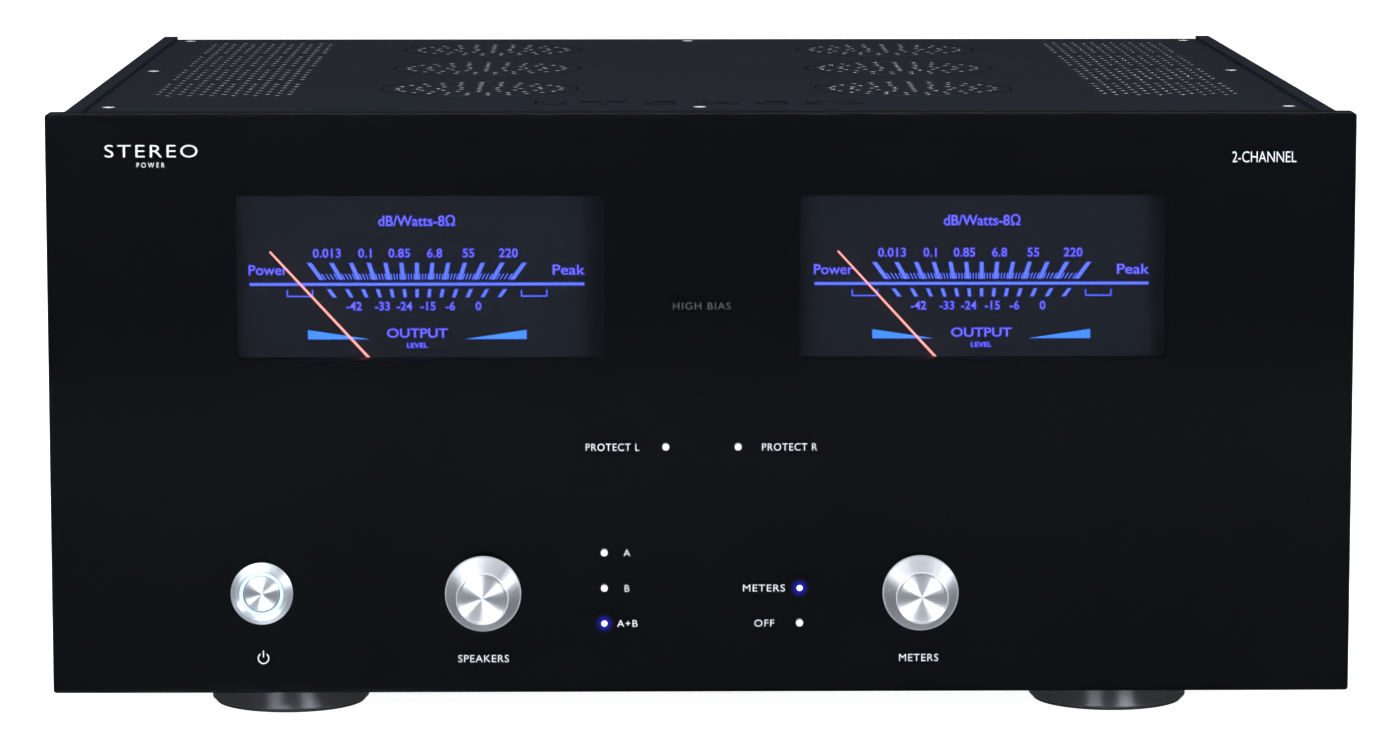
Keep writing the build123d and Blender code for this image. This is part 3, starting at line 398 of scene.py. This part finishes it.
class Print:
    """Flat printing on one plane, gathered into one piece. Right, up and out are the plane's directions,
    and its sizes are millimetres. Spread widens bars and words by that much on every side."""

    def __init__(self, origin, right=(1, 0, 0), up=(0, 0, 1), out=(0, -1, 0), thick=PRINT, spread=0.0):
        rows = Matrix((right, up, out)).transposed().to_4x4()
        self.place = Matrix.Translation(origin) @ rows @ Matrix.Scale(MM, 4)
        self.thick = thick
        self.spread = spread
        self.mesh = bmesh.new()

    def outline(self, points):
        """A solid of the print's thickness over a polygon."""
        low = [self.mesh.verts.new((x, y, 0)) for x, y in points]
        high = [self.mesh.verts.new((x, y, self.thick)) for x, y in points]
        count = len(points)
        self.mesh.faces.new(reversed(low))
        self.mesh.faces.new(high)
        for k in range(count):
            after = (k + 1) % count
            self.mesh.faces.new((low[k], low[after], high[after], high[k]))

    def bar(self, left, right, low, high, slope=0.0):
        """A level-ended bar. With a slope it leans, and left and right are its places where up is 0."""
        grow = self.spread
        low, high = low - grow, high + grow
        left, right = left - grow, right + grow
        self.outline([(left + low * slope, low), (right + low * slope, low),
                      (right + high * slope, high), (left + high * slope, high)])

    def ring(self, x, y, inner, outer, start=0.0, sweep=2 * pi, sides=RING_SIDES):
        """A ring, or a part of one, as a row of short solids."""
        for k in range(sides):
            a, b = start + sweep * k / sides, start + sweep * (k + 1) / sides
            corners = [(inner, a), (outer, a), (outer, b), (inner, b)]
            self.outline([(x + r * cos(t), y + r * sin(t)) for r, t in corners])

    def disc(self, x, y, radius, sides=DISC_SIDES):
        """A flat round."""
        turns = [2 * pi * k / sides for k in range(sides)]
        self.outline([(x + radius * cos(t), y + radius * sin(t)) for t in turns])

    def words(self, text, x, y, cap, width=None, weight=0.0, spacing=1.0):
        """Words centred on a place, with capitals of one height, and fitted to a width where one is given."""
        scale = cap / capital_height()
        mesh = letters(text, weight + self.spread / scale, spacing)
        xs = [v.co.x for v in mesh.vertices]
        left, right = min(xs), max(xs)
        stretch = (width + 2 * self.spread) / ((right - left) * scale) if width else 1.0
        middle = (left + right) / 2
        for v in mesh.vertices:
            v.co = ((v.co.x - middle) * scale * stretch + x, v.co.y * scale - cap / 2 + y,
                    self.thick if v.co.z > 0 else 0)
        self.mesh.from_mesh(mesh)
        bpy.data.meshes.remove(mesh)

    def piece(self, name, material, body=CHASSIS, slot=None):
        """All that was printed, as one finished piece."""
        mesh = bpy.data.meshes.new(name)
        self.mesh.transform(self.place)
        bmesh.ops.remove_doubles(self.mesh, verts=self.mesh.verts, dist=1e-8)
        bmesh.ops.recalc_face_normals(self.mesh, faces=self.mesh.faces)
        self.mesh.to_mesh(mesh)
        self.mesh.free()
        return placed(mesh, name, material, body)


def placed(mesh, name, material, body=CHASSIS):
    """A finished piece from a mesh, riding on its body."""
    piece = bpy.data.objects.new(name, mesh)
    bpy.context.scene.collection.objects.link(piece)
    mesh.materials.append(material)
    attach(piece, body)
    return piece


def letters(text, weight=0.0, spacing=1.0):
    """Extruded letters as a mesh, in the built-in face."""
    curve = bpy.data.curves.new("letters", "FONT")
    curve.body = text
    curve.extrude = 0.01
    curve.offset = weight
    curve.space_character = spacing
    curve.resolution_u = 4
    holder = bpy.data.objects.new("letters", curve)
    bpy.context.scene.collection.objects.link(holder)
    bpy.context.view_layer.update()
    evaluated = holder.evaluated_get(bpy.context.evaluated_depsgraph_get())
    mesh = bpy.data.meshes.new_from_object(evaluated)
    bpy.data.objects.remove(holder)
    bpy.data.curves.remove(curve)
    return mesh


@cache
def capital_height():
    """The height of a capital in the built-in face at its own size."""
    mesh = letters("H")
    height = max(v.co.y for v in mesh.vertices)
    bpy.data.meshes.remove(mesh)
    return height


# ---------------------------------------------------------------- front


def front_print(x, z):
    """A printing plane on the glass, with its origin at a point in millimetres."""
    return Print((x * MM, FRONT, z * MM))


def power_sign(legends, x, z):
    """A ring open at its top, with an upright stroke in the opening."""
    legends.ring(x, z, 1.55, 1.95, radians(125), radians(290), 36)
    legends.bar(x - 0.2, x + 0.2, z + 0.3, z + 2.6)


def make_front_lettering():
    """The words on the glass, in three pieces. Those of a lamp that is off are faint."""
    ink = surface("legend_ink", linear(172, 175, 181), 0.5, 0.0, 2600.0, tone=0.06, Specular_IOR_Level=0.2)
    faint = surface("unlit_legend", linear(46, 48, 52), 0.5, 0.0, 2400.0)
    for name, lines, finish in (("front_legends", LEGENDS, ink), ("front_title", TITLES, ink),
                                ("high_bias_legend", UNLIT, faint)):
        printing = front_print(0, 0)
        for line in lines:
            printing.words(*line)
        if lines is LEGENDS:
            power_sign(printing, *POWER_SIGN)
        printing.piece(name, finish, slot="indicator_white")


def make_indicator_glow():
    """The lamps that are on: a bright core, just proud of its lens, and a blue halo round it."""
    core = glowing("lamp_core", (0.78, 0.84, 1.0), 3.0)
    halo = lamp_halo()
    for number, place in enumerate(LAMPS_ON, 1):
        spot = front_print(*place)
        spot.disc(0, 0, LAMP_CORE_R)
        spot.piece(f"lamp_core_{number}", core, slot="indicator_white")
        spread = front_print(*place)
        spread.ring(0, 0, LAMP_CORE_R, LAMP_HALO_R)
        spread.piece(f"lamp_halo_{number}", halo, slot="smoked_glass")


# ---------------------------------------------------------------- meters


def make_dial(name):
    """Lit printing on a dial, over the light that spreads round it in the dial sheet."""
    print_dial(name, SCALE_X[name], PRINT, 0.0, (
        glowing(f"dial_scale_ink_{name}", linear(92, 112, 255), 3.5),
        glowing(f"dial_word_ink_{name}", linear(108, 98, 255), 3.8),
        glowing(f"dial_ramp_ink_{name}", linear(70, 145, 255), 2.8)))
    glow = glowing(f"dial_spread_{name}", linear(26, 22, 118), 2.2)
    print_dial(f"{name}_spread", SCALE_X[name], PRINT / 3, DIAL_SPREAD, (glow, glow, glow))


def print_dial(name, middle, thick, spread, inks):
    """A dial's three printed pieces, all drawn from the middle of its scale."""
    for kind, draw, ink in zip(("scale", "words", "ramps"), (draw_scale, draw_words, draw_ramps), inks):
        printing = Print((middle * MM, DIAL_FACE, PIVOT_Z * MM), thick=thick, spread=spread)
        draw(printing)
        printing.piece(f"dial_{kind}_{name}", ink, slot="indicator_white")


def draw_scale(printing):
    """The long line, ticks that point at the pivot, and a bracket at each end. Fine ticks have no spread."""
    def tick(degrees, low, high, width):
        half = width / 2 / cos(radians(degrees))
        printing.bar(-half, half, low, high, tan(radians(degrees)))

    printing.bar(-SCALE_HALF, SCALE_HALF, *SCALE_LINE)
    for step in range(TICK_COUNT):
        degrees = (step - TICK_COUNT // 2) * TICK_STEP
        tick(degrees, *UPPER_TICK)
        tick(degrees, *LOWER_TICK)
        if step < TICK_COUNT - 1 and not printing.spread:
            for fine in range(1, 5):
                tick(degrees + fine * FINE_STEP, *FINE_TICK)
    for end in (-1, 1):
        left, right = sorted(end * x for x in BRACKET_X)
        for x in (left, right):
            printing.bar(x - BRACKET_LINE, x + BRACKET_LINE, *BRACKET_Z)
        printing.bar(left, right, BRACKET_Z[0] - BRACKET_LINE, BRACKET_Z[0] + BRACKET_LINE)


def draw_words(printing):
    """The figures over and under the scale, and the words round it."""
    for text, x in UPPER_FIGURES:
        printing.words(text, x, UPPER_FIGURES_Z, 2.8, weight=0.002, spacing=1.05)
    for text, x in LOWER_FIGURES:
        printing.words(text, x, LOWER_FIGURES_Z, 2.7, weight=0.002)
    for line in DIAL_WORDS:
        printing.words(*line)


def draw_ramps(printing):
    """A wedge at each end that thins towards the middle. Its spread reaches furthest past its thin tip."""
    grow = printing.spread
    near, far = RAMP_NEAR - 4 * grow, RAMP_FAR + grow
    low, high = RAMP_LOW - grow, RAMP_HIGH + grow
    for end in (-1, 1):
        printing.outline([(end * far, high), (end * far, low), (end * near, low)][::end])


# ---------------------------------------------------------------- cover


def vent_holes():
    """Every hole's centre in the cover, in millimetres, with depth behind the front. The rectangular fields
    have staggered columns, and gaps in every second column split each field into four."""
    holes = []
    for side in (-1, 1):
        for index in range(COLUMNS):
            x = side * RECT_VENT_X + (index - COLUMNS // 2) * COLUMN_PITCH
            if index % 2:
                holes += [(x, RECT_VENT_START + k * HOLE_PITCH) for k in range(COLUMN_HOLES)]
            else:
                start = RECT_VENT_START + HOLE_PITCH / 2
                holes += [(x, start + k * HOLE_PITCH) for k in range(COLUMN_HOLES - 1) if k % 6 != 5]
        for depth in ROUND_VENT_DEPTHS:
            holes.append((side * ROUND_VENT_X, depth))
            for radius, count in VENT_RINGS:
                turns = [2 * pi * k / count for k in range(count)]
                holes += [(side * ROUND_VENT_X + radius * sin(t), depth + radius * cos(t)) for t in turns]
    return holes


def turned_ring(mesh, place, profile, sides):
    """A closed ring turned about the place's Z axis, from (radius, height) points."""
    turns = [(cos(2 * pi * k / sides), sin(2 * pi * k / sides)) for k in range(sides)]
    loops = [[mesh.verts.new(place @ Vector((r * c, r * s, h))) for c, s in turns] for r, h in profile]
    for k in range(len(profile)):
        one, other = loops[k], loops[(k + 1) % len(profile)]
        for j in range(sides):
            after = (j + 1) % sides
            mesh.faces.new((one[j], one[after], other[after], other[j]))


def finished(mesh, name):
    """A mesh from its working form, with every normal outward."""
    bmesh.ops.recalc_face_normals(mesh, faces=mesh.faces)
    data = bpy.data.meshes.new(name)
    mesh.to_mesh(data)
    mesh.free()
    return data


def make_vent_edges():
    """The bright drawn-down edge of each punched hole."""
    profile = [(HOLE_R + past, height) for past, height in VENT_EDGE]
    mesh = bmesh.new()
    for x, depth in vent_holes():
        middle = Matrix.Translation((x * MM, FRONT + depth * MM, COVER_TOP)) @ Matrix.Scale(MM, 4)
        turned_ring(mesh, middle, profile, HOLE_SIDES)
    edge = surface("punched_edge", (0.58, 0.6, 0.64), 0.18, 1.0, 900.0, tone=0.08)
    placed(finished(mesh, "vent_edges"), "vent_edges", edge)


def cover_print(thick=PRINT, above=0.0):
    """A printing plane on the cover, or a little above it: its y is the depth behind the front."""
    return Print((0, FRONT, COVER_TOP + above * MM), up=(0, 1, 0), out=(0, 0, 1), thick=thick)


def make_screw_painted_glints():
    """A painted glint: a near-white ring round the drive socket of each cover screw, in place of the light
    that the socket catches.
    """
    # painted glint: near-white and nearly matte, so the ring looks lit from any side
    metal = surface("screw_socket_painted_glint", (0.95, 0.96, 0.98), 0.5, 0.05, 900.0, tone=0.03)
    edges = cover_print(SCREW_GLINT_THICKNESS, -SCREW_GLINT_SUNK)
    for x, depth in COVER_SCREWS:
        edges.ring(x, depth, *SCREW_GLINT_RADII, sides=SCREW_SIDES)
    edges.piece("cover_screw_painted_glints", metal, slot="bright_screws")


def make_knob_edge_highlights():
    """A painted highlight: a light grey ring along the edge round the base of each knob, and round the front
    of its taper.
    """
    # painted highlight: a light grey, nearly matte ring standing in for the light caught on the knob's edges
    metal = surface("knob_edge_painted_highlight", (0.5, 0.53, 0.57), 0.4, 0.1, 900.0, tone=0.04)
    facing = Matrix(((1, 0, 0), (0, 0, -1), (0, 1, 0))).to_4x4()
    for name in ("speaker", "meter"):
        low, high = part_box(f"{name}_knob")
        middle = (low + high) / 2
        place = Matrix.Translation((middle.x, high.y, middle.z)) @ facing @ Matrix.Scale(MM, 4)
        mesh = bmesh.new()
        for outline in KNOB_HIGHLIGHT_OUTLINES:
            inside = [(r - KNOB_HIGHLIGHT_THICKNESS, h) for r, h in reversed(outline)]
            turned_ring(mesh, place, list(outline) + inside, LARGE_SIDES)
        placed(finished(mesh, f"{name}_knob_edge_highlights"), f"{name}_knob_edge_highlights", metal, f"{name}_selector")


def make_cover_printing():
    """A plain raised word across the front of the cover, and painted shade: two dark bands along the borders
    of the groove round each round vent field. Both are darker than the paint round them."""
    dark = surface("dark_word_and_painted_groove_shade", linear(14, 17, 23), 0.4, 0.0, 2600.0, Specular_IOR_Level=0.2)
    word = cover_print(COVER_WORD_THICKNESS)
    word.words(*COVER_WORD)
    word.piece("cover_word", dark, slot="grey_steel")

    # painted shade: dark rings at the groove's borders, standing in for the shade of its depth
    borders = cover_print()
    for side in (-1, 1):
        for depth in ROUND_VENT_DEPTHS:
            for inner, outer in GROOVE_SHADE_BANDS:
                borders.ring(side * ROUND_VENT_X, depth, inner, outer, sides=LARGE_SIDES)
    borders.piece("vent_groove_painted_shade", dark, slot="grey_steel")


# ---------------------------------------------------------------- rear


def rear_print():
    """A printing plane on the rear panel: its x runs to the right seen from behind."""
    return Print((0, REAR, 0), right=(-1, 0, 0), out=(0, 1, 0))


def make_rear_lettering():
    """Words over the connectors. The posts are + and - by turns, from the right seen from behind."""
    ink = surface("rear_ink", (0.62, 0.63, 0.65), 0.55, 0.0, 2000.0)
    legends = rear_print()
    for side, name in ((1, "LEFT"), (-1, "RIGHT")):
        for text, x, z, height in REAR_SIDE_WORDS:
            legends.words(text.format(name), side * x, z, height)
    for number, x in enumerate(TERMINAL_X):
        legends.words("-" if number % 2 else "+", -x, SIGN_Z, SIGN_HEIGHT)
    for line in REAR_MIDDLE_WORDS:
        legends.words(*line)
    legends.piece("rear_legends", ink, slot="grey_steel")


# ---------------------------------------------------------------- stage


def make_floor():
    """A wide pale floor, lit a little from within so that it stays even."""
    bpy.ops.mesh.primitive_plane_add(size=60)
    floor = bpy.context.object
    floor.name = "floor"
    pale = surface("pale_floor", (0.86, 0.86, 0.87), 0.75, grain=60.0, tone=0.01, relief=0.0,
                   Specular_IOR_Level=0.1, Emission_Color=(1, 1, 1, 1), Emission_Strength=0.92)
    floor.data.materials.append(pale)
    floor.visible_glossy = False


def make_light(name, kind, energy, place, target, **settings):
    """A light aimed at a target, and not seen itself."""
    data = bpy.data.lights.new(name, kind)
    data.energy = energy
    for key, value in settings.items():
        setattr(data, key, value)
    light = bpy.data.objects.new(name, data)
    bpy.context.scene.collection.objects.link(light)
    light.location = place
    light.rotation_euler = (Vector(target) - Vector(place)).to_track_quat("-Z", "Y").to_euler()
    light.visible_camera = False
    return light


def make_panel_light(name, energy, place, target, width, height):
    """A flat rectangular light."""
    return make_light(name, "AREA", energy, place, target, shape="RECTANGLE", size=width, size_y=height)


def make_lights():
    """A broad sun, lights in front that draw the wedges on the turned metal, and two behind that no surface
    reflects."""
    knobs, foot_of_front = (-0.03, FRONT, 0.046), (0, FRONT, 0.01)
    make_light("overhead", "SUN", 1.4, (0.3, -0.8, 4.0), (0, 0, 0), angle=radians(70))
    make_panel_light("box_left", 6.2, (-0.34, FRONT - 0.8, 0.36), knobs, 0.5, 0.2)
    make_panel_light("box_right", 5.6, (0.56, FRONT - 0.8, 0.31), knobs, 0.5, 0.2)
    make_panel_light("low_left", 15, (-1.2, FRONT - 3, 0.5), foot_of_front, 1.1, 0.2)
    make_panel_light("low_right", 15, (1.4, FRONT - 3, 0.3), foot_of_front, 1.1, 0.2)
    make_panel_light("front_wall", 11, (0, FRONT - 2.5, 1.4), (0, FRONT, 0.4), 4.0, 2.5)
    for side, x in (("left", -2.0), ("right", 2.0)):
        rear = make_panel_light(f"rear_{side}", 14, (x, REAR + 1.5, 0.5), (0, REAR, 0.1), 0.8, 0.6)
        rear.visible_glossy = False
    world = bpy.data.worlds.new("studio")
    world.use_nodes = True
    sky = world.node_tree.nodes["Background"]
    sky.inputs["Color"].default_value = (0.9, 0.93, 1.0, 1)
    sky.inputs["Strength"].default_value = 0.08
    bpy.context.scene.world = world
    bpy.context.scene.view_settings.view_transform = "Standard"


def make_camera():
    """A long lens in front, a little left of centre and above the cover, aimed slightly down."""
    data = bpy.data.cameras.new("camera")
    camera = bpy.data.objects.new("camera", data)
    bpy.context.scene.collection.objects.link(camera)
    data.sensor_width = 36.0
    data.lens = CAMERA_LENS
    camera.location = (CAMERA_X, FRONT - CAMERA_DISTANCE, CAMERA_Z)
    camera.rotation_euler = Vector(CAMERA_AIM).to_track_quat("-Z", "Y").to_euler()
    bpy.context.scene.camera = camera


make_camera()
make_floor()
make_lights()
dress_frame()
make_front_lettering()
make_indicator_glow()
make_dial("left")
make_dial("right")
make_vent_edges()
make_screw_painted_glints()
make_knob_edge_highlights()
make_cover_printing()
make_rear_lettering()
